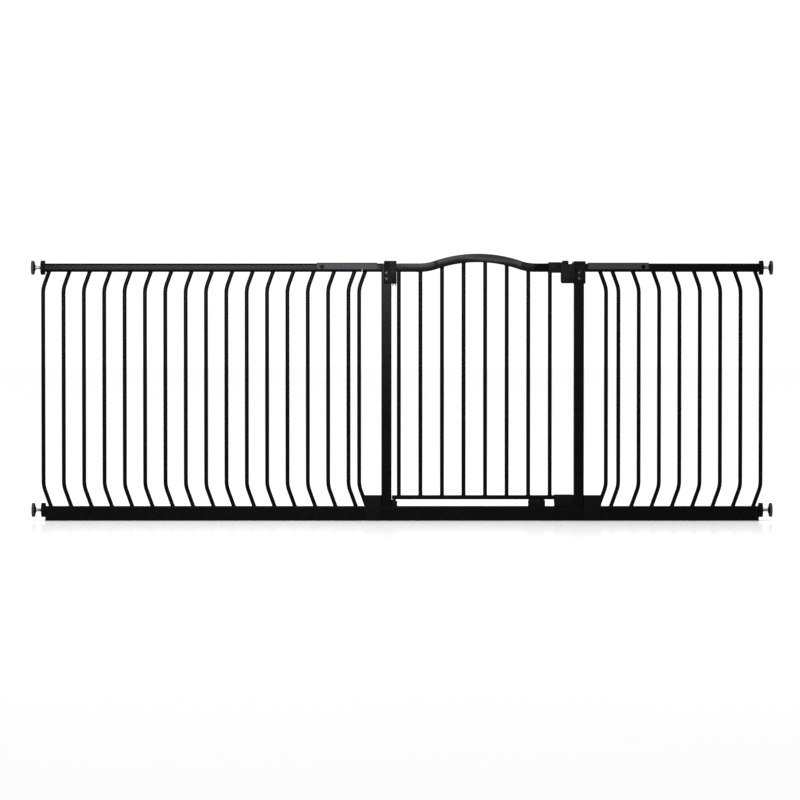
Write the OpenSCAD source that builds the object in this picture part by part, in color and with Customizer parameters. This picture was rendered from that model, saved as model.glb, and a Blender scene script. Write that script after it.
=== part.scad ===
// Walk-through pressure gate: a U-shaped frame with an arched swinging door, two side
// panels that slide out of the frame, and four tension bolts that clamp it between walls.
// X runs along the gate's width, Y is depth (front is -Y), Z is up.
// The origin lies at floor level, half way across the overall width, in the gate's mid-plane.

/* [Overall size] */

// Overall width across the four pads, side panels pushed in and bolts screwed in
gate_w = 2184; // [1944:0.2:2624]

// Height of the top of the straight rails above the floor
gate_h = 758.5; // [630:0.1:920]

// Clear width of the doorway between the posts
doorway_w = 537; // [440:0.5:650]

// Distance of the doorway's middle from the middle of the gate
doorway_x = 237.5; // [120:0.5:300]

/* [Frame and rails] */

// Width of each post, seen from the front
post_w = 30; // [25:1:36]

// Depth of posts and rails
rail_d = 25; // [21:0.5:30]

// Height of the top rails
rail_h = 25; // [22:1:30]

// Height of the bottom tubes that lie on the floor
base_h = 43; // [35:0.1:52]

// Wall thickness of posts and rails
wall = 1.5; // [1:0.1:2]

/* [Bars] */

// Diameter of the bars
bar_d = 12; // [9:0.1:14.4]

// Wall thickness of the bars
bar_wall = 0.8; // [0.6:0.1:1.2]

// Distance between bars in the side panels
bar_pitch = 60; // [50:1:72]

// Number of bars in the door
door_bar_count = 8; // [7:1:9]

// Angle of the bend near each end of a side panel's bar
bend_a = 20; // [14:1:24]

/* [Door] */

// Rise of the door's arched top rail
arch_rise = 28.6; // [15:0.1:40]

// Half the width of the arch
arch_half = 171; // [150:1:180]

// Height of the underside of the door above the floor
door_z = 63; // [57:1:72]

/* [Tension bolts] */

// Diameter of the hand wheels and wall pads
disc_d = 42; // [36:1:50]

// Diameter of the threaded spindles
spindle_d = 10; // [8:1:12]

/* [Hidden] */

steel = [0.10, 0.10, 0.105];
plastic = [0.13, 0.13, 0.135];
zinc = [0.75, 0.75, 0.77];
rubber = [0.05, 0.05, 0.05];
round_fn = 32;
bar_fn = 16;
corner = 3;
rail_round = 7;

// levels
rail_z = gate_h - rail_h / 2;
rail_under = gate_h - rail_h;
door_rail_h = 12;
door_rail_top = door_z + door_rail_h;
bar_r = bar_d / 2;

// posts: inner and outer faces
left_in = doorway_x - doorway_w / 2;
left_out = left_in - post_w;
right_in = doorway_x + doorway_w / 2;
right_out = right_in + post_w;

// side panels, measured outwards from the post's outer face
pad_t = 12;
wheel_t = 12;
wheel_gap = 0.2;
spindle_show = 28;
bolt_out = spindle_show + pad_t;
rail_end = gate_w / 2 - bolt_out;
first_bar = gate_w / 2 - 34;
function panel_w(s) = s > 0 ? rail_end - right_out : rail_end + left_out;
function bar_far(s) = s > 0 ? first_bar - right_out : first_bar + left_out;
fixed_off = 65.5;
least_gap = 24;
function bar_count(s) = floor((bar_far(s) - fixed_off - least_gap) / bar_pitch) + 1;

// bends of the side bars: where the two straight lines meet, from the rails
bend_r = 80;
bend_top = 48;
bend_bottom = 59;
bend_len = bend_r * tan(bend_a / 2);
swell = 0.05;
lap = 1;
top_kick = bend_top * tan(bend_a);
foot_kick = bend_bottom * tan(bend_a);
bar_half = bar_r / cos(bend_a);

// telescoping parts
block_w = fixed_off - foot_kick + bar_half + 0.8;
block_h = door_rail_top;
block_d = rail_d + 3;
slip = 0.3;
spigot_end = fixed_off - top_kick + bar_half + 1.5;
sleeve_start = 12;
sleeve_end = 190;
sleeve_t = 2;
sleeve_d = rail_d + 2 * (slip + sleeve_t);
sleeve_top = gate_h + slip + sleeve_t;
sleeve_z0 = rail_under + 8;
sleeve_round = 5;
lock_off = 174;
lock_z = rail_z + 2.5;
inner_reach = 120;

// hinge
hinge_x = left_in + bar_r + 2;
knuckle_r = 6.7;
arm_r = 7;
cheek_x1 = hinge_x + 6;
swing_clear = rail_d / 2 + 1.5;
door_start = hinge_x + swing_clear;
pin_r = 3;
run = 0.05;
shell_d = rail_d + 6;
bracket_z0 = rail_under - 34.5;
bracket_top = gate_h + 7.5;
bracket_x0 = left_in - 22;
screw_x = left_in - post_w / 2;
screw_zs = [rail_under - 19.5, rail_under - 2.5];
screw_head_r = 3.7;
screw_head_t = 2;

// latch
case_x0 = right_in - 38;
case_x1 = right_in - 3;
case_z0 = rail_under - 33.5;
case_z1 = gate_h - 1.5;
case_wall = 3;
latch_z = gate_h - 14.5;
latch_r = 5;
cover_x0 = case_x0 - 37;
cover_z0 = rail_under - 2.5;
cover_z1 = gate_h + 3.5;
keeper_x0 = right_in - 1;
keeper_x1 = right_out + 4;
keeper_top = gate_h + 6.5;
keeper_t = 4;
lip_t = 2;
lip_lap = 3;

// door
door_cx = (hinge_x + case_x0) / 2;
arch_a = 2 * atan(arch_rise / arch_half);
arch_sum = arch_half / sin(arch_a);
crown_r = 0.724 * arch_sum;
foot_r = arch_sum - crown_r;
door_bar_x0 = hinge_x + arm_r + bar_r + 0.6;
door_bar_x1 = case_x0 - 32.2;
door_bar_pitch = (door_bar_x1 - door_bar_x0) / (door_bar_count - 1);
lug_end = hinge_x + 21;
door_rail_d = 20;
door_rail_end = right_in - 58;

// height of the arched rail's centre line above a point x
function arch_z(x) =
  let (d = abs(x - door_cx), e = arch_half - d)
  e <= 0 ? rail_z :
  e < foot_r * sin(arch_a) ? rail_z + foot_r - sqrt(foot_r * foot_r - e * e) :
  rail_z + arch_rise - crown_r + sqrt(crown_r * crown_r - d * d);

// ---------- shared shapes ----------

// rectangle w by h with corners of radius q
module rounded_rect(w, h, q) {
  square([w - 2 * q, h], center = true);
  square([w, h - 2 * q], center = true);
  for (x = [-1, 1], y = [-1, 1])
    translate([x * (w / 2 - q), y * (h / 2 - q)]) circle(r = q, $fn = round_fn);
}

// extrudes a depth-and-height section along X from x0 to x1
module along_x(x0, x1) {
  translate([x0, 0, 0]) rotate([90, 0, 90]) linear_extrude(x1 - x0) children();
}

// extrudes a width-and-height section through the depth, centred on the mid-plane
module through_y(d) {
  translate([0, d / 2, 0]) rotate([90, 0, 0]) linear_extrude(d) children();
}

// hollow rectangular tube along X, standing on z0
module tube_x(x0, x1, z0, d, h, q) {
  difference() {
    along_x(x0, x1) translate([0, z0 + h / 2]) rounded_rect(d, h, q);
    along_x(x0 - 1, x1 + 1) translate([0, z0 + h / 2])
      rounded_rect(d - 2 * wall, h - 2 * wall, q - wall);
  }
}

// puts outward distances from a post's outer face into the gate's frame
module beside_post(s) {
  translate([s > 0 ? right_out : left_out, 0, 0]) mirror([s > 0 ? 0 : 1, 0, 0]) children();
}

// puts outward distances from a rail's outer end into the gate's frame
module at_end(s) {
  translate([s * rail_end, 0, 0]) mirror([s > 0 ? 0 : 1, 0, 0]) children();
}

// box given by its two corners
module box(x0, x1, y0, y1, z0, z1) {
  translate([x0, y0, z0]) cube([x1 - x0, y1 - y0, z1 - z0]);
}

// pan-head screw along the depth, head against the plane y
module screw(x, z, y, shank) {
  translate([x, y, z]) rotate([90, 0, 0]) difference() {
    union() {
      cylinder(r = screw_head_r, h = screw_head_t, $fn = round_fn);
      translate([0, 0, -shank]) cylinder(r = 2, h = shank, $fn = round_fn);
    }
    for (t = [0, 90]) rotate([0, 0, t])
      translate([-2.2, -0.5, screw_head_t - 1.1]) cube([4.4, 1, 2]);
  }
}

// ---------- posts, base and top stubs ----------

module post(x, hole) {
  color(steel) difference() {
    translate([x, 0, base_h]) linear_extrude(gate_h - base_h)
      rounded_rect(post_w, rail_d, corner);
    translate([x, 0, base_h - 1]) linear_extrude(gate_h - base_h - wall)
      rounded_rect(post_w - 2 * wall, rail_d - 2 * wall, corner - wall);
    for (z = screw_zs)
      translate([x, 0, z]) rotate([90, 0, 0])
        cylinder(r = 2.1, h = rail_d, $fn = round_fn);
    if (hole) box(right_in - 1, right_in + wall + 1, -6, 6, latch_z - 6, latch_z + 6);
  }
}

module left_post() post(left_in - post_w / 2, false);
module right_post() post(right_in + post_w / 2, true);

module base_tube() color(steel) tube_x(left_out, right_out, 0, rail_d, base_h, corner);

module stub(s) {
  color(steel) beside_post(s) tube_x(0, spigot_end, rail_under, rail_d, rail_h, rail_round);
}
module left_stub() stub(-1);
module right_stub() stub(1);

// channel, open below, that covers the upper part of the side panel's top rail
module sleeve(s) {
  color(steel) beside_post(s) difference() {
    along_x(sleeve_start, sleeve_end) difference() {
      union() {
        translate([-sleeve_d / 2, sleeve_z0])
          square([sleeve_d, sleeve_top - sleeve_round - sleeve_z0]);
        translate([0, sleeve_top - 1.5 * sleeve_round])
          rounded_rect(sleeve_d, 3 * sleeve_round, sleeve_round);
      }
      translate([-rail_d / 2 - slip, sleeve_z0 - 1])
        square([rail_d + 2 * slip, gate_h + slip - sleeve_z0 + 1]);
    }
    translate([lock_off, 0, lock_z]) rotate([90, 0, 0])
      cylinder(r = 2.6, h = sleeve_d, $fn = round_fn);
  }
}
module left_sleeve() sleeve(-1);
module right_sleeve() sleeve(1);

module lock_screw(s) {
  head = 3.4;
  color(plastic) beside_post(s) translate([lock_off, -sleeve_d / 2, lock_z])
    rotate([90, 0, 0]) difference() {
      union() {
        cylinder(r = 6, h = head, $fn = round_fn);
        translate([0, 0, -sleeve_t - 0.2]) cylinder(r = 2.5, h = sleeve_t + 0.2, $fn = round_fn);
      }
      translate([-4, -0.7, head - 1.2]) cube([8, 1.4, 2]);
    }
}
module left_lock_screw() lock_screw(-1);
module right_lock_screw() lock_screw(1);

// ---------- lower joints between frame and side panels ----------

module joint_block(s) {
  gap = slip + wall;
  color(plastic) beside_post(s) difference() {
    along_x(0, block_w) translate([0, block_h / 2]) rounded_rect(block_d, block_h, corner);
    box(-1, block_w + 1, gap - rail_d / 2, rail_d / 2 - gap, gap, base_h - gap);
  }
}
module left_block() joint_block(-1);
module right_block() joint_block(1);

module inner_tube(s) {
  gap = slip + wall;
  color(steel) beside_post(s) difference() {
    along_x(0, block_w + inner_reach) translate([0, base_h / 2])
      rounded_rect(rail_d - 2 * gap, base_h - 2 * gap, corner - gap);
    box(-1, block_w + inner_reach + 1, gap + wall - rail_d / 2, rail_d / 2 - gap - wall,
      gap + wall, base_h - gap - wall);
  }
}
module left_inner_tube() inner_tube(-1);
module right_inner_tube() inner_tube(1);

// ---------- bent bars ----------

// line of a bent bar with radius r: straight in the middle, both ends lean inwards
module bent_rod(r) {
  z0 = base_h + bend_bottom + bend_len;
  z1 = rail_under - bend_top - bend_len;
  translate([0, 0, z0 - lap]) cylinder(r = r, h = z1 - z0 + 2 * lap, $fn = bar_fn);
  for (up = [0, 1]) translate([0, 0, up ? z1 : z0]) mirror([0, 0, up ? 0 : 1]) {
    translate([-bend_r, 0, 0]) rotate([90, 0, 0])
      rotate_extrude(angle = bend_a, $fn = 96) translate([bend_r, 0])
        circle(r = r + swell, $fn = bar_fn);
    translate([bend_r * cos(bend_a) - bend_r, 0, bend_r * sin(bend_a)])
      rotate([0, -bend_a, 0]) translate([0, 0, -lap])
        cylinder(r = r, h = bend_bottom, $fn = bar_fn);
  }
}

// one hollow bar at distance u from the post, cut off flush with both rails
module bent_bar(u) {
  translate([u, 0, 0]) intersection() {
    difference() {
      bent_rod(bar_r);
      bent_rod(bar_r - bar_wall);
    }
    translate([-60, -20, base_h]) cube([120, 40, rail_under - base_h]);
  }
}

module fixed_bar(s) {
  color(steel) beside_post(s) difference() {
    bent_bar(fixed_off);
    box(0, block_w, -20, 20, 0, block_h);
  }
}
module left_fixed_bar() fixed_bar(-1);
module right_fixed_bar() fixed_bar(1);

// ---------- side panels ----------

module side_bars(s) {
  color(steel) beside_post(s)
    for (i = [0 : bar_count(s) - 1]) bent_bar(bar_far(s) - i * bar_pitch);
}
module left_bars() side_bars(-1);
module right_bars() side_bars(1);

module side_top_rail(s) {
  color(steel) beside_post(s)
    tube_x(spigot_end + 1.5, panel_w(s), rail_under, rail_d, rail_h, rail_round);
}
module left_top_rail() side_top_rail(-1);
module right_top_rail() side_top_rail(1);

module side_bottom_rail(s) {
  color(steel) beside_post(s)
    tube_x(block_w + 1, panel_w(s), 0, rail_d, base_h, corner);
}
module left_bottom_rail() side_bottom_rail(-1);
module right_bottom_rail() side_bottom_rail(1);

// threaded plug, bored at height z, in the end of a rail on z0, h high, with corners of radius q
module plug(s, z, z0, h, q) {
  len = 20;
  color(plastic) at_end(s) difference() {
    along_x(-len, 0) translate([0, z0 + h / 2])
      rounded_rect(rail_d - 2 * wall, h - 2 * wall, q - wall + 0.5);
    translate([-len - 1, 0, z]) rotate([0, 90, 0])
      cylinder(r = spindle_d / 2 + run, h = len + 2, $fn = round_fn);
  }
}
bolt_zs = [base_h / 2 + 10, rail_z];
module left_top_plug() plug(-1, bolt_zs[1], rail_under, rail_h, rail_round);
module right_top_plug() plug(1, bolt_zs[1], rail_under, rail_h, rail_round);
module left_bottom_plug() plug(-1, bolt_zs[0], 0, base_h, corner);
module right_bottom_plug() plug(1, bolt_zs[0], 0, base_h, corner);

// ---------- tension bolts ----------

module spindle(s, z) {
  inside = 60;
  into_pad = 4;
  color(zinc) at_end(s) translate([-inside, 0, z]) rotate([0, 90, 0])
    cylinder(r = spindle_d / 2, h = inside + spindle_show + into_pad, $fn = round_fn);
}

module wheel(s, z) {
  grips = 12;
  color(plastic) at_end(s) translate([wheel_gap, 0, z]) rotate([0, 90, 0]) difference() {
    cylinder(r = disc_d / 2, h = wheel_t, $fn = 48);
    for (i = [0 : grips - 1]) rotate([0, 0, (i + 0.5) * 360 / grips])
      translate([disc_d / 2 + 2, 0, -1]) cylinder(r = 3.6, h = wheel_t + 2, $fn = 16);
    translate([0, 0, -1]) cylinder(r = spindle_d / 2 + run, h = wheel_t + 2, $fn = round_fn);
  }
}

module pad(s, z) {
  into_pad = 4;
  color(rubber) at_end(s) translate([spindle_show, 0, z]) rotate([0, 90, 0]) difference() {
    cylinder(r = disc_d / 2, h = pad_t, $fn = 48);
    translate([0, 0, -1]) cylinder(r = spindle_d / 2 + 0.02, h = into_pad + 1.02, $fn = round_fn);
  }
}

module left_upper_spindle() spindle(-1, bolt_zs[1]);
module left_lower_spindle() spindle(-1, bolt_zs[0]);
module right_upper_spindle() spindle(1, bolt_zs[1]);
module right_lower_spindle() spindle(1, bolt_zs[0]);
module left_upper_wheel() wheel(-1, bolt_zs[1]);
module left_lower_wheel() wheel(-1, bolt_zs[0]);
module right_upper_wheel() wheel(1, bolt_zs[1]);
module right_lower_wheel() wheel(1, bolt_zs[0]);
module left_upper_pad() pad(-1, bolt_zs[1]);
module left_lower_pad() pad(-1, bolt_zs[0]);
module right_upper_pad() pad(1, bolt_zs[1]);
module right_lower_pad() pad(1, bolt_zs[0]);

// ---------- hinge ----------

// one of the two arms that hold the pin, from the post out to the front cheek
module arm(z0, z1) {
  translate([hinge_x, 0, z0]) linear_extrude(z1 - z0) {
    circle(r = arm_r, $fn = 48);
    translate([left_in - hinge_x, -arm_r]) square([hinge_x - left_in, 2 * arm_r]);
    translate([left_in - hinge_x, -shell_d / 2]) square([cheek_x1 - left_in, shell_d / 2]);
  }
}

module hinge_bracket() {
  low_arm_top = rail_under - 1;
  high_arm = gate_h + 0.8;
  color(plastic) difference() {
    union() {
      difference() {
        box(bracket_x0, left_in + 1, -shell_d / 2, shell_d / 2, bracket_z0, bracket_top);
        box(bracket_x0 - 1, left_in, -rail_d / 2, rail_d / 2, bracket_z0 - 1, gate_h);
        box(hinge_x - swing_clear, left_in + 2, rail_d / 2, shell_d, low_arm_top, high_arm);
      }
      box(left_in, cheek_x1, -shell_d / 2, -rail_d / 2, bracket_z0, bracket_top);
      arm(bracket_z0, low_arm_top);
      arm(high_arm, bracket_top);
    }
    translate([hinge_x, 0, bracket_z0 - 1])
      cylinder(r = pin_r + 0.02, h = bracket_top - bracket_z0 + 2, $fn = round_fn);
    for (z = screw_zs) translate([screw_x, 0, z]) rotate([90, 0, 0])
      cylinder(r = 2.1, h = shell_d, $fn = round_fn);
  }
}

module hinge_pin() {
  head = 6.5;
  color(zinc) translate([hinge_x, 0, 0]) {
    translate([0, 0, bracket_z0 - head]) cylinder(r = 5.5, h = head, $fn = round_fn);
    translate([0, 0, bracket_z0]) cylinder(r = pin_r, h = bracket_top - bracket_z0, $fn = round_fn);
  }
}

module bracket_screw(x, z) color(zinc) screw(x, z, -shell_d / 2, 7);
module hinge_screw_upper() bracket_screw(screw_x, screw_zs[1]);
module hinge_screw_lower() bracket_screw(screw_x, screw_zs[0]);
module keeper_screw_upper() bracket_screw(right_in + post_w / 2, screw_zs[1]);
module keeper_screw_lower() bracket_screw(right_in + post_w / 2, screw_zs[0]);

module lower_hinge_socket() {
  top = door_z - 1;
  color(plastic) {
    difference() {
      box(left_in, hinge_x + 9, -9, 9, base_h, top);
      box(hinge_x + 5, hinge_x + 10, -10, 10, top - 4, top + 1);
    }
    translate([hinge_x, 0, top]) cylinder(r = pin_r, h = door_rail_h - 1, $fn = round_fn);
  }
}

// ---------- latch keeper and lower stops on the frame ----------

module latch_keeper() {
  color(plastic) difference() {
    union() {
      box(keeper_x0, keeper_x1, -shell_d / 2, shell_d / 2, bracket_z0, keeper_top);
      // lip that the closed latch case stands behind
      box(case_x1 - lip_lap, keeper_x0 + 5, -shell_d / 2 - lip_t, 1 - shell_d / 2, case_z0, case_z1);
    }
    box(case_x1 - lip_lap - 1, keeper_x0, -shell_d / 2 - slip, shell_d / 2, case_z0 - 1, case_z1 + 1);
    box(right_in, right_out, -rail_d / 2, rail_d / 2, bracket_z0 - 1, gate_h);
    box(right_out - 1, keeper_x1 + 1, -rail_d / 2, rail_d / 2, bracket_z0 - 1, gate_h);
    box(keeper_x0 - 1, right_in + 1, -6, 6, latch_z - 6, latch_z + 6);
    for (z = screw_zs) translate([right_in + post_w / 2, 0, z]) rotate([90, 0, 0])
      cylinder(r = 2.1, h = shell_d, $fn = round_fn);
  }
}

module lower_keeper() {
  x0 = door_rail_end + 1;
  color(plastic) {
    box(x0, right_in, -rail_d / 2, rail_d / 2, base_h, door_z - 11);
    box(x0, right_in, -rail_d / 2, keeper_t - rail_d / 2, door_z - 11, door_rail_top + 2);
  }
}

module stop_block() {
  x0 = door_rail_end - 76;
  x1 = door_rail_end - 26;
  color(plastic) through_y(18) polygon([[x0, base_h], [x1, base_h], [x1, door_z - 3.5],
    [x1 - 3, door_z - 0.5], [x0 + 3, door_z - 0.5], [x0, door_z - 3.5]]);
}

// ---------- door ----------

module arch_arc(cx, cz, r, a0, a1, in) {
  translate([cx, 0, cz]) rotate([90, 0, 0]) rotate([0, 0, a0])
    rotate_extrude(angle = a1 - a0, $fn = 192) translate([r, 0])
      square([rail_h - 2 * in, rail_d - 2 * in], center = true);
}

// the arched rail's solid, shrunk all round by in; the outer arcs are a hair thicker
// than their neighbours (thinner, in the hollow) and reach a little way over them
module arch_solid(in) {
  section = [rail_d - 2 * in, rail_h - 2 * in];
  over = lap / foot_r * 180 / PI;
  along_x(door_start + in, door_cx - arch_half)
    translate([0, rail_z]) square(section, center = true);
  arch_arc(door_cx - arch_half, rail_z + foot_r, foot_r, 270 - over, 270 + arch_a + over,
    in - swell);
  arch_arc(door_cx, rail_z + arch_rise - crown_r, crown_r, 90 - arch_a, 90 + arch_a, in);
  arch_arc(door_cx + arch_half, rail_z + foot_r, foot_r, 270 - arch_a - over, 270 + over,
    in - swell);
  along_x(door_cx + arch_half, case_x0 - in)
    translate([0, rail_z]) square(section, center = true);
}

module door_top_rail() {
  color(steel) difference() {
    union() {
      arch_solid(0);
      translate([0, 0, rail_under]) linear_extrude(rail_h) {
        translate([hinge_x, 0]) circle(r = knuckle_r, $fn = 48);
        translate([hinge_x, -knuckle_r]) square([door_start + 0.5 - hinge_x, 2 * knuckle_r]);
      }
    }
    arch_solid(wall);
    translate([hinge_x, 0, rail_under - 1])
      cylinder(r = pin_r + run, h = rail_h + 2, $fn = round_fn);
    translate([cover_x0 + 29, 0, rail_z + 2]) rotate([90, 0, 0])
      cylinder(r = 2.1, h = rail_d, $fn = round_fn);
  }
}

module door_bottom_rail() {
  color(steel) difference() {
    union() {
      translate([0, 0, door_z]) linear_extrude(door_rail_h) {
        translate([hinge_x, 0]) circle(r = arm_r, $fn = 48);
        translate([hinge_x, -arm_r]) square([lug_end - hinge_x, 2 * arm_r]);
      }
      box(lug_end, door_rail_end, -door_rail_d / 2, door_rail_d / 2, door_z, door_rail_top);
    }
    box(lug_end + wall, door_rail_end - wall, wall - door_rail_d / 2, door_rail_d / 2 - wall,
      door_z + wall, door_rail_top - wall);
    translate([hinge_x, 0, door_z - 1])
      cylinder(r = pin_r + run, h = door_rail_h, $fn = round_fn);
  }
}

module door_bar(x) {
  difference() {
    translate([x, 0, door_rail_top]) difference() {
      cylinder(r = bar_r, h = arch_z(x) - door_rail_top, $fn = bar_fn);
      translate([0, 0, -1])
        cylinder(r = bar_r - bar_wall, h = arch_z(x) - door_rail_top + 2, $fn = bar_fn);
    }
    arch_solid(0);
    box(door_start - 20, door_start + 1, -20, 20, rail_under, gate_h);
  }
}

module door_bars() {
  color(steel) for (i = [0 : door_bar_count - 1]) door_bar(door_bar_x0 + i * door_bar_pitch);
}

module door_foot() {
  front = keeper_t + 0.5 - rail_d / 2;
  back = door_rail_d / 2;
  skin = 3;
  color(plastic) difference() {
    box(door_rail_end, right_in - 4, front, back, door_z - 10, door_rail_top + 2);
    box(door_rail_end + skin, right_in - 4 - skin, front + skin, back - skin,
      door_z - 11, door_rail_top + 2 - skin);
  }
}

// ---------- handle and latch on the door ----------

module handle_cover() {
  color(plastic) difference() {
    union() {
      box(cover_x0, case_x0, -shell_d / 2, shell_d / 2, cover_z0, cover_z1);
      box(case_x0, case_x0 + 4, -shell_d / 2, shell_d / 2, case_z1, cover_z1);
    }
    box(cover_x0 - 1, case_x0, -rail_d / 2, rail_d / 2, rail_under, gate_h);
    translate([door_bar_x1, 0, cover_z0 - 1]) cylinder(r = bar_r + 0.2, h = 5, $fn = round_fn);
    translate([cover_x0 + 29, 0, rail_z + 2]) rotate([90, 0, 0])
      cylinder(r = 2.1, h = shell_d, $fn = round_fn);
  }
}
module cover_screw() color(plastic) screw(cover_x0 + 29, rail_z + 2, -shell_d / 2, 7);

module latch_case() {
  q = 6;
  color(plastic) difference() {
    through_y(shell_d) {
      translate([case_x0 + q, case_z0]) square([case_x1 - case_x0 - q, case_z1 - case_z0]);
      translate([case_x0, case_z0 + q]) square([q, case_z1 - case_z0 - q]);
      translate([case_x0 + q, case_z0 + q]) circle(r = q, $fn = 48);
      translate([case_x1 - 2, case_z1]) square([2, cover_z1 - case_z1]);
    }
    box(case_x0 + case_wall, case_x1 - 5, case_wall - shell_d / 2, shell_d / 2 - case_wall,
      case_z0 + q, case_z1 - case_wall);
    box(case_x0 + 7.5, case_x1 - 5.5, -3.3, 3.3, case_z1 - 5, case_z1 + 1);
    translate([case_x1 - 6, 0, latch_z]) rotate([0, 90, 0])
      cylinder(r = latch_r + 0.06, h = 8, $fn = round_fn);
  }
}

module thumb_slider() {
  x0 = case_x0 + 4.5;
  stem0 = case_x0 + 8;
  color(plastic) difference() {
    union() {
      box(x0, x0 + 17.5, -12, 12, case_z1 + 0.3, case_z1 + 10);
      box(stem0, stem0 + 10, -3, 3, latch_z + 6, case_z1 + 1);
      box(stem0, stem0 + 10, -8, 8, latch_z - 7, latch_z + 7);
    }
    translate([stem0 - 1, 0, latch_z]) rotate([0, 90, 0])
      cylinder(r = latch_r + 0.02, h = 12, $fn = round_fn);
    for (i = [0 : 3]) box(x0 + 2.5 + i * 3.6, x0 + 4 + i * 3.6, -13, 13, case_z1 + 8.8, case_z1 + 11);
  }
}

module latch_bolt() {
  color(zinc) translate([case_x0 + 6, 0, latch_z]) rotate([0, 90, 0])
    cylinder(r = latch_r, h = case_x1 - case_x0 - 7, $fn = round_fn);
}

// ---------- nodes ----------

left_post();
right_post();
base_tube();
left_stub();
right_stub();
left_sleeve();
right_sleeve();
left_lock_screw();
right_lock_screw();
left_block();
right_block();
left_inner_tube();
right_inner_tube();
left_fixed_bar();
right_fixed_bar();
hinge_bracket();
hinge_pin();
hinge_screw_upper();
hinge_screw_lower();
latch_keeper();
keeper_screw_upper();
keeper_screw_lower();
lower_hinge_socket();
lower_keeper();
stop_block();
door_top_rail();
door_bottom_rail();
door_bars();
door_foot();
handle_cover();
cover_screw();
latch_case();
thumb_slider();
latch_bolt();
left_top_rail();
left_bottom_rail();
left_bars();
left_top_plug();
left_bottom_plug();
right_top_rail();
right_bottom_rail();
right_bars();
right_top_plug();
right_bottom_plug();
left_upper_spindle();
left_upper_wheel();
left_upper_pad();
left_lower_spindle();
left_lower_wheel();
left_lower_pad();
right_upper_spindle();
right_upper_wheel();
right_upper_pad();
right_lower_spindle();
right_lower_wheel();
right_lower_pad();
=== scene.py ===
"""Looks of a walk-through pressure gate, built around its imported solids."""

import math

import bmesh
import bpy
from bpy.props import FloatProperty, FloatVectorProperty, IntProperty, PointerProperty
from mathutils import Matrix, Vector


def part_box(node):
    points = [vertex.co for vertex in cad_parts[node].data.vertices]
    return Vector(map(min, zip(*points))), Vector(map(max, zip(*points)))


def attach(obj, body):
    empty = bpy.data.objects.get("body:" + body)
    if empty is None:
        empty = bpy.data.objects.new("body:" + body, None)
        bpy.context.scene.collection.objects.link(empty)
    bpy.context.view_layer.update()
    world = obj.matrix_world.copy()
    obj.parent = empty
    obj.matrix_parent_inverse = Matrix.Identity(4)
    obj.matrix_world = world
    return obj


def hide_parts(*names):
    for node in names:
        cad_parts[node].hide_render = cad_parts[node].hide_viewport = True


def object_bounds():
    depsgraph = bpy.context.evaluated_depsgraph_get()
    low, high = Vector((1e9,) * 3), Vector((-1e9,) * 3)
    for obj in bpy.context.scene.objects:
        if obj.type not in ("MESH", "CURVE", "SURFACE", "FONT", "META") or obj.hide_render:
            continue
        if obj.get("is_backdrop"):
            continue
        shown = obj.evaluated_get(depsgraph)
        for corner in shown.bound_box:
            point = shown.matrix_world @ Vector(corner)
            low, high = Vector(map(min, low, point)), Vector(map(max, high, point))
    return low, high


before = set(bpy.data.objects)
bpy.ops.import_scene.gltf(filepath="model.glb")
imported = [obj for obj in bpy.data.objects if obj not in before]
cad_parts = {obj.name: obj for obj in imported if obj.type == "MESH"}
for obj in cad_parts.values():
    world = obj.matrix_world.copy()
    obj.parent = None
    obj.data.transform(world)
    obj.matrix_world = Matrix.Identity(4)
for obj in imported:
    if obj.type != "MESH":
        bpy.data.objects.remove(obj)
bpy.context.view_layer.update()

bl_info = {
    "name": "Pressure gate looks",
    "version": (1, 0, 0),
    "blender": (4, 5, 0),
    "location": "View3D > Sidebar > Gate",
    "description": "Powder coat, mouldings, threads, welds and pads of a pressure gate",
    "category": "Object",
}

SIDES = ("left", "right")
TENSION_BOLTS = tuple((side, level) for side in SIDES for level in ("upper", "lower"))
MM = 0.001

TUBES = (
    "left_post", "right_post", "base_tube", "left_stub", "right_stub",
    "left_inner_tube", "right_inner_tube", "left_top_rail", "left_bottom_rail",
    "right_top_rail", "right_bottom_rail",
)
BARS = ("left_bars", "right_bars", "left_fixed_bar", "right_fixed_bar", "door_bars")
MOULDINGS = {
    "hinge_bracket": ("frame", 1.2),
    "latch_keeper": ("frame", 1.2),
    "lower_hinge_socket": ("frame", 0.8),
    "lower_keeper": ("frame", 1.0),
    "stop_block": ("frame", 0.8),
    "left_block": ("frame", 0.8),
    "right_block": ("frame", 0.8),
    "door_foot": ("door", 1.2),
    "handle_cover": ("door", 1.4),
    "latch_case": ("door", 1.2),
    "thumb_slider": ("latch", 0.5),
    "left_lock_screw": ("frame", 0.4),
    "right_lock_screw": ("frame", 0.4),
    "cover_screw": ("door", 0.25),
}
PLUGS = ("left_top_plug", "left_bottom_plug", "right_top_plug", "right_bottom_plug")


# ---------- sizes and colours a user may change ----------

class GateSizes(bpy.types.PropertyGroup):
    thread_pitch: FloatProperty(
        name="Thread pitch", description="Advance of the spindles' thread in one turn",
        default=1.5 * MM, unit="LENGTH", precision=5)
    thread_depth: FloatProperty(
        name="Thread depth", description="Height of the thread from root to crest",
        default=0.85 * MM, unit="LENGTH", precision=5)
    bead_size: FloatProperty(
        name="Weld bead", description="Radius of the bead where a bar meets a rail",
        default=1.25 * MM, unit="LENGTH", precision=5)
    rail_edge: FloatProperty(
        name="Rail edge", description="Rounding along the edges of the door's rails",
        default=6.0 * MM, unit="LENGTH", precision=5)
    pad_rings: IntProperty(
        name="Pad rings", description="Number of raised rings on the face of a wall pad",
        default=3, min=1, max=6)


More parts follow.
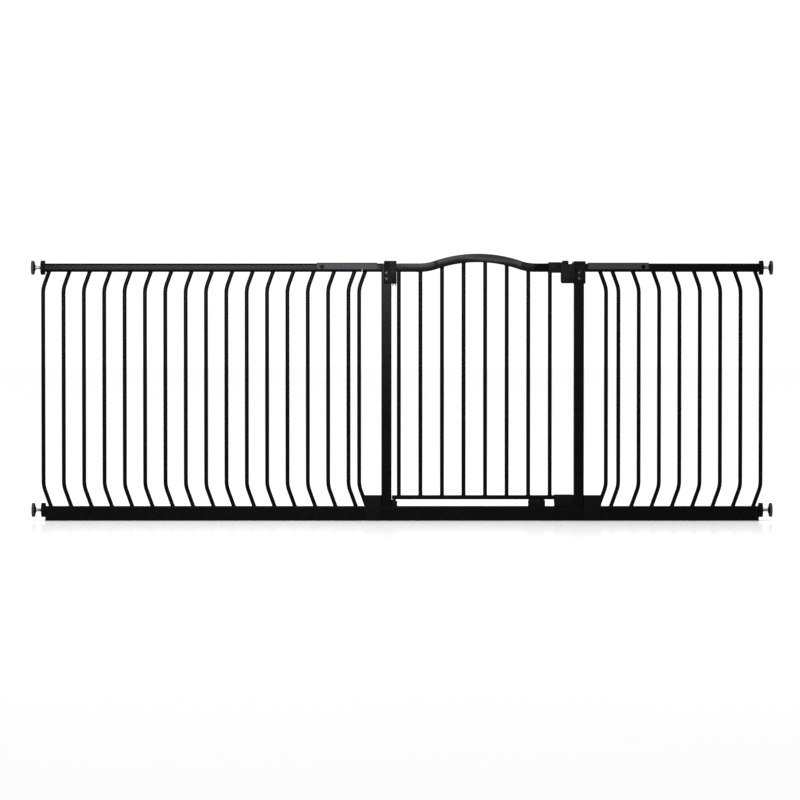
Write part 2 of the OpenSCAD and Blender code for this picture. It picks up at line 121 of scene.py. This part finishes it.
class GateColours(bpy.types.PropertyGroup):
    coat: FloatVectorProperty(
        name="Powder coat", description="Colour of the coated steel",
        subtype="COLOR", size=3, default=(0.0009, 0.0009, 0.00095))
    sleeve: FloatVectorProperty(
        name="Sleeve coat", description="Colour of the coated sleeves",
        subtype="COLOR", size=3, default=(0.022, 0.0225, 0.0255))
    moulding: FloatVectorProperty(
        name="Moulding", description="Colour of the moulded parts",
        subtype="COLOR", size=3, default=(0.0011, 0.0011, 0.0012))
    rubber: FloatVectorProperty(
        name="Rubber", description="Colour of the wall pads",
        subtype="COLOR", size=3, default=(0.0030, 0.0030, 0.0030))
    zinc: FloatVectorProperty(
        name="Zinc", description="Colour of plated pins and spindles",
        subtype="COLOR", size=3, default=(0.42, 0.43, 0.44))
    screw: FloatVectorProperty(
        name="Screws", description="Colour of the blackened screws",
        subtype="COLOR", size=3, default=(0.055, 0.056, 0.058))
    floor: FloatVectorProperty(
        name="Floor", description="Colour of the floor",
        subtype="COLOR", size=3, default=(0.885, 0.885, 0.885))


def sizes():
    return bpy.context.scene.gate_sizes


def colours():
    return bpy.context.scene.gate_colours


# ---------- node trees ----------

class Value:
    """One socket of a node tree that can be used in sums."""

    def __init__(self, maker, socket):
        self.maker = maker
        self.socket = socket

    def _math(self, operation, *values):
        return self.maker.add("ShaderNodeMath", {"operation": operation}, values)[0]

    def __add__(self, other):
        return self._math("ADD", self, other)

    def __radd__(self, other):
        return self._math("ADD", other, self)

    def __sub__(self, other):
        return self._math("SUBTRACT", self, other)

    def __rsub__(self, other):
        return self._math("SUBTRACT", other, self)

    def __mul__(self, other):
        return self._math("MULTIPLY", self, other)

    def __rmul__(self, other):
        return self._math("MULTIPLY", other, self)

    def __truediv__(self, other):
        return self._math("DIVIDE", self, other)

    def __gt__(self, other):
        return self._math("GREATER_THAN", self, other)

    def absolute(self):
        return self._math("ABSOLUTE", self)

    def fraction(self):
        return self._math("FRACT", self)


class Maker:
    """Adds nodes to one tree, from their type, settings and inputs."""

    def __init__(self, tree):
        self.tree = tree

    def add(self, kind, settings=None, inputs=()):
        node = self.tree.nodes.new(kind)
        for key, value in (settings or {}).items():
            if key == "stops":
                ramp = node.color_ramp
                while len(ramp.elements) < len(value):
                    ramp.elements.new(1.0)
                for element, (place, level) in zip(ramp.elements, value):
                    element.position = place
                    element.color = (level, level, level, 1)
            else:
                setattr(node, key, value)
        pairs = inputs.items() if isinstance(inputs, dict) else enumerate(inputs)
        for key, value in pairs:
            self.feed(node.inputs[key], value)
        return [Value(self, s) for s in node.outputs if s.enabled]

    def feed(self, socket, value):
        if isinstance(value, Value):
            self.tree.links.new(value.socket, socket)
        elif value is not None:
            socket.default_value = value

    def noise(self, where, scale, detail=2.0, rough=0.5):
        return self.add("ShaderNodeTexNoise", {"noise_dimensions": "3D"},
                        {"Vector": where, "Scale": scale, "Detail": detail,
                         "Roughness": rough})[0]

    def ramp(self, value, *stops):
        return self.add("ShaderNodeValToRGB", {"stops": stops}, {"Fac": value})[0]

    def mix(self, factor, a, b):
        node = self.tree.nodes.new("ShaderNodeMix")
        node.data_type = "RGBA"
        self.feed(node.inputs[0], factor)
        self.feed(node.inputs[6], colour4(a))
        self.feed(node.inputs[7], colour4(b))
        return Value(self, node.outputs[2])

    def bump(self, height, distance, strength):
        return self.add("ShaderNodeBump", {}, {"Height": height, "Distance": distance,
                                               "Strength": strength})[0]


def colour4(value):
    """A colour as a socket takes it; a node's output stays as it is."""
    return value if isinstance(value, Value) else (*value, 1.0)


def scaled(colour, factor):
    return tuple(min(1.0, c * factor) for c in colour)


def new_material(name):
    """A material with one Principled shader. Returns it, its maker, its shader and coordinates."""
    material = bpy.data.materials.new(name)
    material.use_nodes = True
    tree = material.node_tree
    tree.nodes.clear()
    make = Maker(tree)
    shader = tree.nodes.new("ShaderNodeBsdfPrincipled")
    output = tree.nodes.new("ShaderNodeOutputMaterial")
    tree.links.new(shader.outputs["BSDF"], output.inputs["Surface"])
    place = make.add("ShaderNodeTexCoord")
    coords = next(v for v in place if v.socket.name == "Object")
    return material, make, shader, coords


def powder_coat(name, colour, gloss=0.25, peel_depth=0.06 * MM):
    """Fine orange peel, faint cloudiness, dust on what faces up that also acts as a painted top
    light, and scuffs near the floor.
    """
    material, make, shader, at = new_material(name)
    z = make.add("ShaderNodeSeparateXYZ", {}, [at])[2]
    normal = next(v for v in make.add("ShaderNodeNewGeometry") if v.socket.name == "Normal")
    up = make.add("ShaderNodeSeparateXYZ", {}, [normal])[2]
    cloud = make.noise(at, 9.0, 3.0)
    peel = make.noise(at, 750.0, 2.0)
    grain = make.noise(at, 3200.0, 1.0)
    specks = make.ramp(make.noise(at, 420.0, 2.0, 0.7), (0.74, 0.0), (0.78, 1.0))
    low = make.ramp(z, (0.0, 1.0), (0.09, 0.0))
    scuff = make.ramp(make.noise(at, 60.0, 4.0, 0.65), (0.52, 0.0), (0.72, 1.0)) * low
    # surfaces facing up are made lighter: partly dust, partly painted light, as if the light from
    # above fell on the tops
    dust_and_painted_top_light = make.ramp(up, (0.55, 0.0), (0.95, 1.0)) * make.noise(at, 34.0, 4.0, 0.6)
    tone = make.mix(cloud, scaled(colour, 0.82), scaled(colour, 1.22))
    tone = make.mix(specks * 0.35, tone, scaled(colour, 2.2))
    # mixes in the lighter tone of the tops: dust together with painted top light
    tone = make.mix(dust_and_painted_top_light * 0.012, tone, (0.30, 0.29, 0.28))
    tone = make.mix(scuff * 0.006, tone, (0.26, 0.25, 0.24))
    make.feed(shader.inputs["Base Color"], tone)
    make.feed(shader.inputs["Roughness"],
              gloss - 0.05 + 0.10 * cloud + 0.14 * dust_and_painted_top_light + 0.12 * scuff + 0.08 * specks)
    height = 0.85 * peel + 0.15 * grain
    make.feed(shader.inputs["Normal"], make.bump(height, peel_depth, 0.35))
    shader.inputs["Specular IOR Level"].default_value = 0.035
    return material


def moulded(name, colour, gloss=0.46):
    """Spark-eroded plastic: even fine grain, a little polish where it is handled."""
    material, make, shader, at = new_material(name)
    cloud = make.noise(at, 24.0, 3.0)
    handled = make.ramp(make.noise(at, 70.0, 3.0, 0.6), (0.42, 0.0), (0.66, 1.0))
    grain = make.noise(at, 2300.0, 2.0, 0.6)
    pits = make.add("ShaderNodeTexVoronoi", {"feature": "F1"}, {"Vector": at, "Scale": 1500.0})[0]
    tone = make.mix(cloud, scaled(colour, 0.85), scaled(colour, 1.25))
    tone = make.mix(handled * 0.18, tone, scaled(colour, 1.9))
    make.feed(shader.inputs["Base Color"], tone)
    make.feed(shader.inputs["Roughness"], gloss + 0.08 * grain - 0.09 * handled)
    make.feed(shader.inputs["Normal"], make.bump(0.6 * grain + 0.4 * pits, 0.07 * MM, 0.5))
    shader.inputs["Specular IOR Level"].default_value = 0.04
    return material


def zinc_plate(name, colour, rough=0.27):
    """Bright zinc with the soft mottling of its passivation and fine turned lines."""
    material, make, shader, at = new_material(name)
    bloom = make.noise(at, 160.0, 3.0, 0.6)
    fine = make.noise(at, 1900.0, 2.0)
    stain = make.ramp(make.noise(at, 90.0, 3.0, 0.7), (0.50, 0.0), (0.78, 1.0))
    tone = make.mix(bloom, scaled(colour, 0.80), scaled(colour, 1.12))
    tone = make.mix(stain * 0.30, tone, scaled(colour, 0.6))
    make.feed(shader.inputs["Base Color"], tone)
    shader.inputs["Metallic"].default_value = 1.0
    make.feed(shader.inputs["Roughness"], rough + 0.12 * fine + 0.14 * stain)
    make.feed(shader.inputs["Normal"], make.bump(fine, 0.04 * MM, 0.5))
    return material


def soft_rubber(name, colour):
    """Matt rubber with a talc-like bloom and moulding specks."""
    material, make, shader, at = new_material(name)
    bloom = make.ramp(make.noise(at, 120.0, 4.0, 0.65), (0.40, 0.0), (0.75, 1.0))
    grain = make.noise(at, 2600.0, 2.0)
    tone = make.mix(bloom * 0.30, colour, (0.050, 0.049, 0.047))
    make.feed(shader.inputs["Base Color"], tone)
    make.feed(shader.inputs["Roughness"], 0.66 + 0.16 * bloom)
    make.feed(shader.inputs["Normal"], make.bump(grain, 0.10 * MM, 0.5))
    return material


def floor_finish(name, colour):
    """Pale matt floor with a polish near the gate that shows at a low angle."""
    material, make, shader, at = new_material(name)
    cloud = make.noise(at, 1.3, 2.0)
    make.feed(shader.inputs["Base Color"], make.mix(cloud, scaled(colour, 0.985), colour))
    shader.inputs["Roughness"].default_value = 0.9
    shader.inputs["Specular IOR Level"].default_value = 0.0
    facing = make.add("ShaderNodeLayerWeight", {}, {"Blend": 0.5})[1]
    grazing = make.add("ShaderNodeMath", {"operation": "POWER"}, [facing, 6.0])[0]
    depth = make.add("ShaderNodeSeparateXYZ", {}, [at])[1]
    near = make.ramp(1.0 + 0.55 * depth, (0.0, 0.0), (1.0, 1.0))
    polish = make.add("ShaderNodeBsdfGlossy", {}, {"Color": (1, 1, 1, 1), "Roughness": 0.12})[0]
    matt = Value(make, shader.outputs["BSDF"])
    share = (0.04 + 0.46 * grazing) * near
    both = make.add("ShaderNodeMixShader", {}, {0: share, 1: matt, 2: polish})[0]
    output = next(n for n in make.tree.nodes if n.type == "OUTPUT_MATERIAL")
    make.feed(output.inputs["Surface"], both)
    return material


MATERIALS = {}


def finish_named(key):
    """Makes each finish once, from the colours in the panel."""
    if key not in MATERIALS:
        c = colours()
        build = {
            "coat": lambda: powder_coat("black powder coat", c.coat),
            "bar_coat": lambda: powder_coat("black powder coat on bars", c.coat, 0.27, 0.02 * MM),
            "sleeve_coat": lambda: powder_coat("grey-black sleeve coat", c.sleeve, 0.34),
            "moulding": lambda: moulded("black moulding", c.moulding),
            "grip": lambda: moulded("hand wheel moulding", scaled(c.moulding, 1.1), 0.52),
            "zinc": lambda: zinc_plate("zinc plate", c.zinc),
            "screw": lambda: zinc_plate("blackened screws", c.screw, 0.50),
            "rubber": lambda: soft_rubber("pad rubber", c.rubber),
            "floor": lambda: floor_finish("studio floor", c.floor),
        }
        MATERIALS[key] = build[key]()
    return MATERIALS[key]


# ---------- shared mesh work ----------

def put_on(obj, key):
    """Gives every slot of an object the named finish."""
    obj.data.materials.clear()
    obj.data.materials.append(finish_named(key))


def new_piece(name, mesh, body, key, replaced=()):
    """Wraps a mesh as one piece that rides on a body."""
    obj = bpy.data.objects.new(name, mesh)
    bpy.context.scene.collection.objects.link(obj)
    put_on(obj, key)
    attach(obj, body)
    if replaced:
        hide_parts(*replaced)
    return obj


def merged_copy(node):
    """A copy of a node's mesh, its loose triangles joined and its flat faces made whole."""
    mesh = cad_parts[node].data.copy()
    shape = bmesh.new()
    shape.from_mesh(mesh)
    bmesh.ops.remove_doubles(shape, verts=shape.verts, dist=3e-6)
    bmesh.ops.dissolve_limit(shape, angle_limit=math.radians(0.6), verts=shape.verts,
                             edges=shape.edges)
    shape.to_mesh(mesh)
    shape.free()
    return mesh


def settled(mesh, modifiers):
    """Applies modifiers, given as type and settings, and returns the plain mesh."""
    holder = bpy.data.objects.new("holder", mesh)
    bpy.context.scene.collection.objects.link(holder)
    for kind, settings in modifiers:
        modifier = holder.modifiers.new(kind.lower(), kind)
        for key, value in settings.items():
            setattr(modifier, key, value)
    graph = bpy.context.evaluated_depsgraph_get()
    result = bpy.data.meshes.new_from_object(holder.evaluated_get(graph))
    bpy.data.objects.remove(holder)
    return result


def rounded_copy(node, width, steps=3, angle=32):
    """A node's mesh with its edges rounded to the given width in metres."""
    mesh = merged_copy(node)
    mesh = settled(mesh, [("BEVEL", {
        "width": width, "segments": steps, "limit_method": "ANGLE",
        "angle_limit": math.radians(angle), "miter_outer": "MITER_ARC",
        "use_clamp_overlap": True, "loop_slide": True})])
    smooth_by_angle(mesh, 40)
    return mesh


def smooth_by_angle(mesh, degrees):
    shape = bmesh.new()
    shape.from_mesh(mesh)
    for face in shape.faces:
        face.smooth = True
    limit = math.radians(degrees)
    for edge in shape.edges:
        edge.smooth = len(edge.link_faces) == 2 and edge.calc_face_angle(0.0) < limit
    shape.to_mesh(mesh)
    shape.free()


def turned(profile, centre, direction, steps=72):
    """A closed shape turned about the X axis through centre, from (distance, radius) pairs."""
    shape = bmesh.new()
    rings = []
    for along, radius in profile:
        x = centre[0] + direction * along
        if radius == 0:
            rings.append([shape.verts.new((x, centre[1], centre[2]))])
            continue
        rings.append([
            shape.verts.new((x, centre[1] + radius * math.cos(2 * math.pi * k / steps),
                             centre[2] + radius * math.sin(2 * math.pi * k / steps)))
            for k in range(steps)])
    for a, b in zip(rings, rings[1:]):
        for k in range(steps):
            j = (k + 1) % steps
            corners = [a[k % len(a)], a[j % len(a)], b[j % len(b)], b[k % len(b)]]
            corners = list(dict.fromkeys(corners))
            shape.faces.new(corners)
    bmesh.ops.recalc_face_normals(shape, faces=shape.faces)
    mesh = bpy.data.meshes.new("turned")
    shape.to_mesh(mesh)
    shape.free()
    smooth_by_angle(mesh, 35)
    return mesh


# ---------- geometry node trees ----------

def node_group(name, inputs):
    """An empty geometry tree with named inputs, given as (name, socket type)."""
    tree = bpy.data.node_groups.new(name, "GeometryNodeTree")
    tree.interface.new_socket("Geometry", in_out="INPUT", socket_type="NodeSocketGeometry")
    for label, kind in inputs:
        tree.interface.new_socket(label, in_out="INPUT", socket_type=kind)
    tree.interface.new_socket("Geometry", in_out="OUTPUT", socket_type="NodeSocketGeometry")
    make = Maker(tree)
    given = {v.socket.name: v for v in make.add("NodeGroupInput")}
    end = tree.nodes.new("NodeGroupOutput")
    return tree, make, given, end


def run_group(tree, base, values):
    """Runs a geometry tree on a base mesh with the given inputs and returns a plain mesh."""
    holder = bpy.data.objects.new("holder", base)
    bpy.context.scene.collection.objects.link(holder)
    modifier = holder.modifiers.new("nodes", "NODES")
    modifier.node_group = tree
    for item in tree.interface.items_tree:
        if item.in_out == "INPUT" and item.name in values:
            modifier[item.identifier] = values[item.name]
    graph = bpy.context.evaluated_depsgraph_get()
    result = bpy.data.meshes.new_from_object(holder.evaluated_get(graph))
    holder.modifiers.remove(modifier)
    bpy.data.objects.remove(holder)
    return result


def bead_tree():
    """A rippled ring of weld on every point of the base mesh."""
    tree, make, given, end = node_group("Weld beads", [
        ("Ring radius", "NodeSocketFloat"), ("Bead radius", "NodeSocketFloat"),
        ("Ripple", "NodeSocketFloat"), ("Finish", "NodeSocketMaterial")])
    ring = make.add("GeometryNodeCurvePrimitiveCircle", {"mode": "RADIUS"},
                    {"Resolution": 28, "Radius": given["Ring radius"]})[0]
    section = make.add("GeometryNodeCurvePrimitiveCircle", {"mode": "RADIUS"},
                       {"Resolution": 8, "Radius": given["Bead radius"]})[0]
    torus = make.add("GeometryNodeCurveToMesh", {}, {"Curve": ring, "Profile Curve": section})[0]
    points = make.add("GeometryNodeMeshToPoints", {}, {"Mesh": given["Geometry"]})[0]
    spin = make.add("FunctionNodeRandomValue", {"data_type": "FLOAT"},
                    {"Min": 0.0, "Max": 6.283, "Seed": 5})
    turn = make.add("ShaderNodeCombineXYZ", {}, {"Z": spin[0]})[0]
    many = make.add("GeometryNodeInstanceOnPoints", {},
                    {"Points": points, "Instance": torus, "Rotation": turn})[0]
    real = make.add("GeometryNodeRealizeInstances", {}, {"Geometry": many})[0]
    where = make.add("GeometryNodeInputPosition")[0]
    normal = make.add("GeometryNodeInputNormal")[0]
    wave = make.noise(where, 900.0, 1.0) - 0.5
    push = make.add("ShaderNodeVectorMath", {"operation": "SCALE"},
                    {0: normal, "Scale": wave * given["Ripple"]})[0]
    moved = make.add("GeometryNodeSetPosition", {}, {"Geometry": real, "Offset": push})[0]
    smooth = make.add("GeometryNodeSetShadeSmooth", {}, {"Geometry": moved})[0]
    done = make.add("GeometryNodeSetMaterial", {}, {"Geometry": smooth,
                                                    "Material": given["Finish"]})[0]
    make.feed(end.inputs[0], done)
    return tree


def thread_tree():
    """A threaded rod along X: a cylinder whose surface follows a helix of triangular section."""
    tree, make, given, end = node_group("Threaded rod", [
        ("Length", "NodeSocketFloat"), ("Radius", "NodeSocketFloat"),
        ("Pitch", "NodeSocketFloat"), ("Depth", "NodeSocketFloat"),
        ("Plain end", "NodeSocketFloat"),
        ("Side steps", "NodeSocketInt"), ("Middle", "NodeSocketVector"),
        ("Direction", "NodeSocketFloat"), ("Finish", "NodeSocketMaterial")])
    rod = make.add("GeometryNodeMeshCylinder", {"fill_type": "NGON"},
                   {"Vertices": 36, "Side Segments": given["Side steps"],
                    "Radius": given["Radius"], "Depth": given["Length"]})[0]
    where = make.add("GeometryNodeInputPosition")[0]
    x, y, z = make.add("ShaderNodeSeparateXYZ", {}, [where])
    turn = make.add("ShaderNodeMath", {"operation": "ARCTAN2"}, [y, x])[0] / (2 * math.pi)
    phase = (z / given["Pitch"] - turn + 1000.0).fraction()
    ridge = (phase - 0.5).absolute() * 2.0
    edge = given["Length"] * 0.5 - z.absolute()
    chamfer = make.add("ShaderNodeMath", {"operation": "MINIMUM"},
                       [edge / given["Pitch"], 1.0])[0]
    shrink = given["Depth"] * make.add("ShaderNodeMath", {"operation": "MAXIMUM"},
                                       [ridge, 1.0 - chamfer])[0]
    plain = (z * given["Direction"]) > (given["Length"] * 0.5 - given["Plain end"])
    factor = 1.0 - (shrink * (1.0 - plain)) / given["Radius"]
    placed = make.add("ShaderNodeCombineXYZ", {}, {"X": x * factor, "Y": y * factor, "Z": z})[0]
    cut = make.add("GeometryNodeSetPosition", {}, {"Geometry": rod, "Position": placed})[0]
    laid = make.add("GeometryNodeTransform", {},
                    {"Geometry": cut, "Rotation": (0.0, math.pi / 2, 0.0),
                     "Translation": given["Middle"]})[0]
    real = make.add("GeometryNodeRealizeInstances", {}, {"Geometry": laid})[0]
    smooth = make.add("GeometryNodeSetShadeSmooth", {}, {"Geometry": real})[0]
    done = make.add("GeometryNodeSetMaterial", {}, {"Geometry": smooth,
                                                    "Material": given["Finish"]})[0]
    make.feed(end.inputs[0], done)
    return tree


def points_mesh(points):
    mesh = bpy.data.meshes.new("points")
    mesh.from_pydata([tuple(p) for p in points], [], [])
    return mesh


def half_depth(node):
    """Half of a node's size from front to back, which is a bar's radius."""
    low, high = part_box(node)
    return (high[1] - low[1]) / 2


def bar_ends(node):
    """Middles of the cut ends of every bar of a node, each with True for a top end."""
    shape = bmesh.new()
    shape.from_mesh(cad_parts[node].data)
    bmesh.ops.remove_doubles(shape, verts=shape.verts, dist=3e-6)
    bar_radius = half_depth(node)
    unseen = set(shape.verts)
    ends = []
    while unseen:
        stack = [unseen.pop()]
        solid = list(stack)
        while stack:
            for edge in stack.pop().link_edges:
                for vert in edge.verts:
                    if vert in unseen:
                        unseen.discard(vert)
                        solid.append(vert)
                        stack.append(vert)
        for pick, reach in ((min, 1), (max, -1)):
            level = pick(v.co.z for v in solid)
            xs = [v.co.x for v in solid if (v.co.z - level) * reach < bar_radius]
            ends.append((pick is max, Vector(((min(xs) + max(xs)) / 2, 0, level))))
    shape.free()
    return ends


# ---------- operators ----------

class GATE_OT_coated_steel(bpy.types.Operator):
    """Coats the posts, tubes, rails, sleeves and bars"""

    bl_idname = "gate.coated_steel"
    bl_label = "Coated steel"

    def execute(self, context):
        for name in TUBES:
            put_on(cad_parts[name], "coat")
        for name in BARS:
            put_on(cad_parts[name], "bar_coat")
        for side in SIDES:
            put_on(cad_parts[f"{side}_sleeve"], "sleeve_coat")
        for name in PLUGS:
            put_on(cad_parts[name], "moulding")
        put_on(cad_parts["hinge_pin"], "zinc")
        put_on(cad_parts["latch_bolt"], "zinc")
        return {"FINISHED"}


class GATE_OT_door_rails(bpy.types.Operator):
    """Rounds the edges of the door's arched top rail and its bottom rail"""

    bl_idname = "gate.door_rails"
    bl_label = "Door rails"

    def execute(self, context):
        for node, share in (("door_top_rail", 1.0), ("door_bottom_rail", 0.3)):
            mesh = rounded_copy(node, sizes().rail_edge * share, 4)
            new_piece(f"{node}_coated", mesh, "door", "coat", (node,))
        return {"FINISHED"}


class GATE_OT_mouldings(bpy.types.Operator):
    """Rounds the edges of the moulded brackets, covers, stops and blocks"""

    bl_idname = "gate.mouldings"
    bl_label = "Mouldings"

    def execute(self, context):
        for node, (body, width) in MOULDINGS.items():
            mesh = rounded_copy(node, width * MM)
            new_piece(f"{node}_moulding", mesh, body, "moulding", (node,))
        return {"FINISHED"}


class GATE_OT_bracket_screws(bpy.types.Operator):
    """Screws of the hinge bracket and the latch keeper"""

    bl_idname = "gate.bracket_screws"
    bl_label = "Bracket screws"

    def execute(self, context):
        for node in ("hinge_screw_upper", "hinge_screw_lower",
                     "keeper_screw_upper", "keeper_screw_lower"):
            mesh = rounded_copy(node, 0.45 * MM)
            new_piece(f"{node}_driven", mesh, "frame", "screw", (node,))
        return {"FINISHED"}


class GATE_OT_weld_beads(bpy.types.Operator):
    """A bead of weld where each bar meets a rail"""

    bl_idname = "gate.weld_beads"
    bl_label = "Weld beads"

    def execute(self, context):
        tree = bead_tree()
        bodies = {"left_bars": "left_panel", "right_bars": "right_panel",
                  "left_fixed_bar": "frame", "right_fixed_bar": "frame", "door_bars": "door"}
        for node, body in bodies.items():
            spots = [place for top, place in bar_ends(node)
                     if top or not node.endswith("fixed_bar")]
            if node == "door_bars":
                # the bar beside the pin sweeps too close to the bracket for a bead
                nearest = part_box("hinge_pin")[1][0] + 22 * MM
                spots = [place for place in spots if place.x > nearest]
            mesh = run_group(tree, points_mesh(spots), {
                "Ring radius": half_depth(node), "Bead radius": sizes().bead_size,
                "Ripple": 0.5 * MM, "Finish": finish_named("coat")})
            new_piece(f"{node}_welds", mesh, body, "coat")
        return {"FINISHED"}


class GATE_OT_spindles(bpy.types.Operator):
    """Threaded spindles of the four tension bolts"""

    bl_idname = "gate.spindles"
    bl_label = "Threaded spindles"

    def execute(self, context):
        tree = thread_tree()
        for side, level in TENSION_BOLTS:
            node = f"{side}_{level}_spindle"
            low, high = (Vector(c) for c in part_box(node))
            length = high.x - low.x
            pitch = sizes().thread_pitch
            mesh = run_group(tree, bpy.data.meshes.new("empty"), {
                "Length": length, "Radius": (high.z - low.z) / 2, "Pitch": pitch,
                "Depth": sizes().thread_depth, "Plain end": 4 * MM,
                "Side steps": int(length / pitch * 8), "Middle": (low + high) / 2,
                "Direction": 1.0 if side == "right" else -1.0,
                "Finish": finish_named("zinc")})
            new_piece(f"{node}_threaded", mesh, f"{side}_{level}_bolt", "zinc", (node,))
        return {"FINISHED"}


class GATE_OT_hand_wheels(bpy.types.Operator):
    """Hand wheels of the tension bolts"""

    bl_idname = "gate.hand_wheels"
    bl_label = "Hand wheels"

    def execute(self, context):
        for side, level in TENSION_BOLTS:
            node = f"{side}_{level}_wheel"
            mesh = rounded_copy(node, 1.1 * MM, 3, 28)
            new_piece(f"{node}_grip", mesh, f"{side}_{level}_handwheel",
                      "grip", (node,))
        return {"FINISHED"}


class GATE_OT_wall_pads(bpy.types.Operator):
    """Wall pads: a moulded cup and a rubber disc with raised rings"""

    bl_idname = "gate.wall_pads"
    bl_label = "Wall pads"

    def execute(self, context):
        for side, level in TENSION_BOLTS:
            node = f"{side}_{level}_pad"
            low, high = (Vector(c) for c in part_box(node))
            middle = (low + high) / 2
            direction = 1 if side == "right" else -1
            inner = low.x if side == "right" else high.x
            radius = (high.z - low.z) / 2
            depth = high.x - low.x
            start = (inner, middle.y, middle.z)
            body = f"{side}_{level}_bolt"
            cup = turned([(0.0, 0.0), (0.0, 8.2 * MM), (0.6 * MM, 9.0 * MM),
                          (1.6 * MM, 9.4 * MM), (2.2 * MM, 12.0 * MM),
                          (3.0 * MM, radius - 2.6 * MM), (3.6 * MM, radius - 1.4 * MM),
                          (5.4 * MM, radius - 1.2 * MM),
                          (5.8 * MM, radius - 1.8 * MM), (5.8 * MM, 0.0)], start, direction)
            new_piece(f"{node}_cup", cup, body, "moulding")
            rubber = turned(self.disc(radius, depth), start, direction, 96)
            new_piece(f"{node}_rubber", rubber, body, "rubber", (node,))
        return {"FINISHED"}

    def disc(self, radius, depth):
        """Section of the rubber disc: a soft rim and raised rings on the wall side."""
        back = 5.0 * MM
        face = depth - 0.9 * MM
        section = [(back, 0.0), (back, radius - 0.9 * MM), (back + 0.7 * MM, radius - 0.1 * MM),
                   (back + 1.5 * MM, radius), (face - 0.8 * MM, radius),
                   (face + 0.4 * MM, radius - 0.5 * MM), (depth, radius - 1.6 * MM),
                   (depth, radius - 2.6 * MM), (face, radius - 3.4 * MM)]
        count = sizes().pad_rings
        gap = (radius - 6.0 * MM) / (count + 1)
        for i in range(count):
            r = radius - 4.4 * MM - (i + 0.5) * gap
            section += [(face, r + 1.3 * MM), (depth - 0.1 * MM, r + 0.6 * MM),
                        (depth - 0.1 * MM, r - 0.6 * MM), (face, r - 1.3 * MM)]
        section.append((face, 0.0))
        return section


class GATE_OT_stage(bpy.types.Operator):
    """Pale floor, soft lights and the camera"""

    bl_idname = "gate.stage"
    bl_label = "Stage"

    def execute(self, context):
        scene = context.scene
        self.floor(scene)
        self.lights(scene)
        self.camera(scene)
        scene.view_settings.view_transform = "Standard"
        return {"FINISHED"}

    def floor(self, scene):
        """A wide round floor, with the white of the studio beyond it."""
        shape = bmesh.new()
        bmesh.ops.create_circle(shape, cap_ends=True, segments=96, radius=45.0)
        mesh = bpy.data.meshes.new("studio_floor")
        shape.to_mesh(mesh)
        shape.free()
        floor = bpy.data.objects.new("studio_floor", mesh)
        scene.collection.objects.link(floor)
        put_on(floor, "floor")
        floor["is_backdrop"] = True

    def lights(self, scene):
        world = bpy.data.worlds.new("studio")
        scene.world = world
        world.use_nodes = True
        background = world.node_tree.nodes["Background"]
        background.inputs["Color"].default_value = (1.0, 1.0, 1.0, 1.0)
        background.inputs["Strength"].default_value = 1.1
        for name, place, size, power, spread, aim in (
                ("key", (-0.55, -3.2, 1.28), (1.7, 0.7), 11.0, 40.0, (-0.45, 0.0, 0.85)),
                ("fill", (3.6, -4.0, 2.4), (1.6, 1.6), 15.0, 120.0, (0.4, 0.0, 0.5)),
                ("top", (0.0, -0.4, 4.0), (3.0, 1.2), 20.0, 120.0, (0.0, 0.0, 0.5))):
            lamp = bpy.data.lights.new(name, "AREA")
            lamp.shape = "RECTANGLE"
            lamp.size, lamp.size_y = size
            lamp.energy = power
            lamp.spread = math.radians(spread)
            obj = bpy.data.objects.new(name, lamp)
            obj.location = place
            obj.rotation_euler = (Vector(aim) - Vector(place)).to_track_quat("-Z", "Y").to_euler()
            obj.visible_camera = False
            scene.collection.objects.link(obj)

    def camera(self, scene):
        low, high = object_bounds()
        margin = 2.360 / 2.184
        width = margin * (high[0] - low[0])
        distance = 9.0
        lift = math.radians(1.2)
        data = bpy.data.cameras.new("camera")
        data.sensor_width = 36.0
        data.lens = data.sensor_width * distance / width
        data.clip_end = 60.0
        camera = bpy.data.objects.new("camera", data)
        aim = Vector((-0.006, 0.0, 0.356))
        camera.location = aim + distance * Vector((0.0, -math.cos(lift), math.sin(lift)))
        camera.rotation_euler = (aim - camera.location).to_track_quat("-Z", "Y").to_euler()
        scene.collection.objects.link(camera)
        scene.camera = camera


OPERATORS = (
    GATE_OT_coated_steel, GATE_OT_door_rails, GATE_OT_mouldings, GATE_OT_bracket_screws,
    GATE_OT_weld_beads, GATE_OT_spindles, GATE_OT_hand_wheels, GATE_OT_wall_pads, GATE_OT_stage,
)


class GATE_PT_pieces(bpy.types.Panel):
    """Lists the gate's pieces, sizes and colours"""

    bl_idname = "GATE_PT_pieces"
    bl_label = "Gate"
    bl_space_type = "VIEW_3D"
    bl_region_type = "UI"
    bl_category = "Gate"

    def draw(self, context):
        column = self.layout.column()
        for group in (context.scene.gate_sizes, context.scene.gate_colours):
            for key in group.__annotations__:
                column.prop(group, key)
        for operator in OPERATORS:
            column.operator(operator.bl_idname)


CLASSES = (GateSizes, GateColours, *OPERATORS, GATE_PT_pieces)


def register():
    for item in CLASSES:
        bpy.utils.register_class(item)
    bpy.types.Scene.gate_sizes = PointerProperty(type=GateSizes)
    bpy.types.Scene.gate_colours = PointerProperty(type=GateColours)


def unregister():
    del bpy.types.Scene.gate_colours
    del bpy.types.Scene.gate_sizes
    for item in reversed(CLASSES):
        bpy.utils.unregister_class(item)


def main():
    register()
    for operator in OPERATORS:
        group, name = operator.bl_idname.split(".")
        getattr(getattr(bpy.ops, group), name)()


if __name__ == "__main__":
    main()
